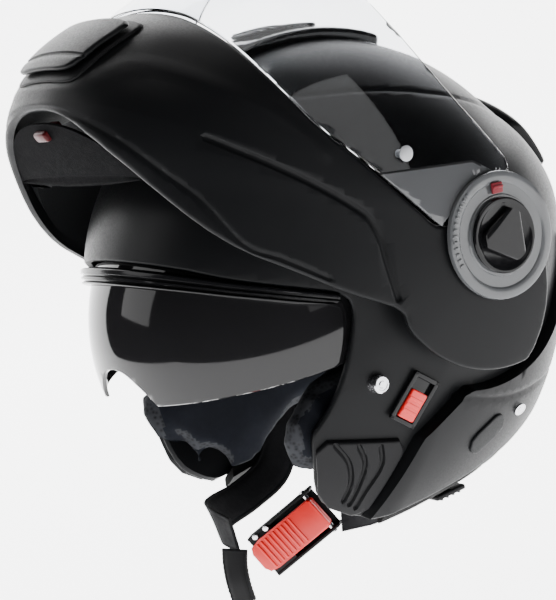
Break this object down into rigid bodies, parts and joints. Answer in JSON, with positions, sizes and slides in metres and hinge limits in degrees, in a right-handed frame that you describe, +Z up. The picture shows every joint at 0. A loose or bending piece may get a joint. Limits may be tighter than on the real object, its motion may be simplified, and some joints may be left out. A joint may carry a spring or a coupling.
{
  "type": "flip-up motorcycle helmet",
  "caption": "Flip-up motorcycle helmet with a hinged chin bar, clear visor, drop-down sun visor, padded lining and buckled chin strap, shown open.",
  "frame": {"origin": "midpoint between the two chin bar pivots, which is the middle of the head cavity", "axes": "+X to the wearer's left, -Y forward, +Z up towards the crown; the neck opening faces down"},
  "size_m": [0.2868, 0.2867, 0.3394],
  "materials": {
    "shell_black": "satin",
    "gloss_black": "gloss",
    "matt_black": "matt",
    "foam": "matt",
    "lining": "knit",
    "mesh_fabric": "mesh",
    "rubber": "matt",
    "webbing": "woven",
    "red": "satin",
    "steel": "brushed",
    "clear": "clear",
    "smoke": "dark tint"
  },
  "bodies": {
    "shell": {"outer_shell": "shell_black", "impact_foam": "foam", "head_lining": "lining", "neck_roll": "lining", "cheek_pad_left": "mesh_fabric", "cheek_pad_right": "mesh_fabric", "brow_trim": "matt_black", "rim_trim": "rubber", "crown_vent_base": "matt_black", "rear_spoiler": "matt_black", "jaw_cover_left": "matt_black", "jaw_cover_right": "matt_black", "latch_pin_left": "steel", "latch_pin_right": "steel", "pivot_base_left": "matt_black", "pivot_base_right": "matt_black", "side_badge_blanks": "matt_black", "rear_screws": "steel", "lock_slide_bezel": "gloss_black", "sun_visor_studs": "steel", "strap_left": "webbing", "strap_right": "webbing", "strap_anchors": "steel", "buckle_body": "matt_black", "buckle_pin": "steel", "ladder_strap": "matt_black", "strap_rivets": "steel"},
    "chin_bar": {"chin_shell": "shell_black", "chin_liner": "lining", "chin_curtain": "lining", "sill_gasket": "rubber", "chin_vent_base": "matt_black", "chin_hub_left": "matt_black", "chin_hub_right": "matt_black", "pivot_cap_left": "gloss_black", "pivot_cap_right": "gloss_black", "hook_pins": "steel"},
    "visor": {"visor_lens": "clear", "visor_ring_left": "clear", "visor_ring_right": "clear", "insert_pins": "clear"},
    "sun_visor": {"sun_visor": "smoke"},
    "sun_visor_slider": {"sun_visor_slider": "matt_black"},
    "crown_vent_slider": {"crown_vent_slider": "matt_black"},
    "lock_slide": {"lock_slide": "red"},
    "buckle_tab": {"buckle_tab": "red"},
    "chin_vent_cover": {"chin_vent_cover": "matt_black"},
    "chin_release_button": {"chin_release_button": "red"},
    "latch_hook_left": {"latch_hook_left": "steel"},
    "latch_hook_right": {"latch_hook_right": "steel"},
    "visor_lock_left": {"visor_lock_left": "red"},
    "visor_lock_right": {"visor_lock_right": "red"}
  },
  "joints": [
    {"name": "chin_bar_hinge", "type": "hinge", "parent": "shell", "child": "chin_bar", "pos_m": [0, 0, 0], "axis": [1, 0, 0], "range_deg": [0, 66]},
    {"name": "visor_hinge", "type": "hinge", "parent": "chin_bar", "child": "visor", "pos_m": [0, 0, 0], "axis": [-1, 0, 0], "range_deg": [0, 40]},
    {"name": "sun_visor_hinge", "type": "hinge", "parent": "shell", "child": "sun_visor", "pos_m": [0, -0.063, -0.03], "axis": [-1, 0, 0], "range_deg": [0, 36]},
    {"name": "sun_visor_slide", "type": "slide", "parent": "shell", "child": "sun_visor_slider", "axis": [0, 1, 0], "range_m": [0, 0.01]},
    {"name": "crown_vent_slide", "type": "slide", "parent": "shell", "child": "crown_vent_slider", "axis": [0, 1, 0], "range_m": [0, 0.008]},
    {"name": "lock_slide_travel", "type": "slide", "parent": "shell", "child": "lock_slide", "axis": [0.2567, 0.6549, 0.7108], "range_m": [0, 0.0055]},
    {"name": "buckle_tab_hinge", "type": "hinge", "parent": "shell", "child": "buckle_tab", "pos_m": [0.03272, -0.08533, -0.13243], "axis": [-0.3793, -0.3053, 0.8734], "range_deg": [0, 40], "stiffness_Nm_per_rad": 0.05},
    {"name": "chin_vent_slide", "type": "slide", "parent": "chin_bar", "child": "chin_vent_cover", "axis": [0, -0.9135, -0.4067], "range_m": [0, 0.006]},
    {"name": "release_button_press", "type": "slide", "parent": "chin_bar", "child": "chin_release_button", "axis": [0, 0.9135, 0.4067], "range_m": [0, 0.004], "stiffness_N_per_m": 900},
    {"name": "latch_hook_left_hinge", "type": "hinge", "parent": "chin_bar", "child": "latch_hook_left", "pos_m": [0.1105, -0.07387, 0.05971], "axis": [1, 0, 0], "range_deg": [0, 8]},
    {"name": "latch_hook_right_hinge", "type": "hinge", "parent": "chin_bar", "child": "latch_hook_right", "pos_m": [-0.1105, -0.07387, 0.05971], "axis": [1, 0, 0], "range_deg": [0, 8]},
    {"name": "visor_lock_left_press", "type": "slide", "parent": "visor", "child": "visor_lock_left", "axis": [0, 0.1149, 0.9934], "range_m": [0, 0.002], "stiffness_N_per_m": 900},
    {"name": "visor_lock_right_press", "type": "slide", "parent": "visor", "child": "visor_lock_right", "axis": [0, 0.1149, 0.9934], "range_m": [0, 0.002], "stiffness_N_per_m": 900}
  ],
  "couplings": [
    {"joint": "sun_visor_slide", "follows": "sun_visor_hinge", "m_per_rad": 0.015915},
    {"joint": "latch_hook_left_hinge", "follows": "release_button_press", "rad_per_m": 34.907},
    {"joint": "latch_hook_right_hinge", "follows": "release_button_press", "rad_per_m": 34.907}
  ]
}
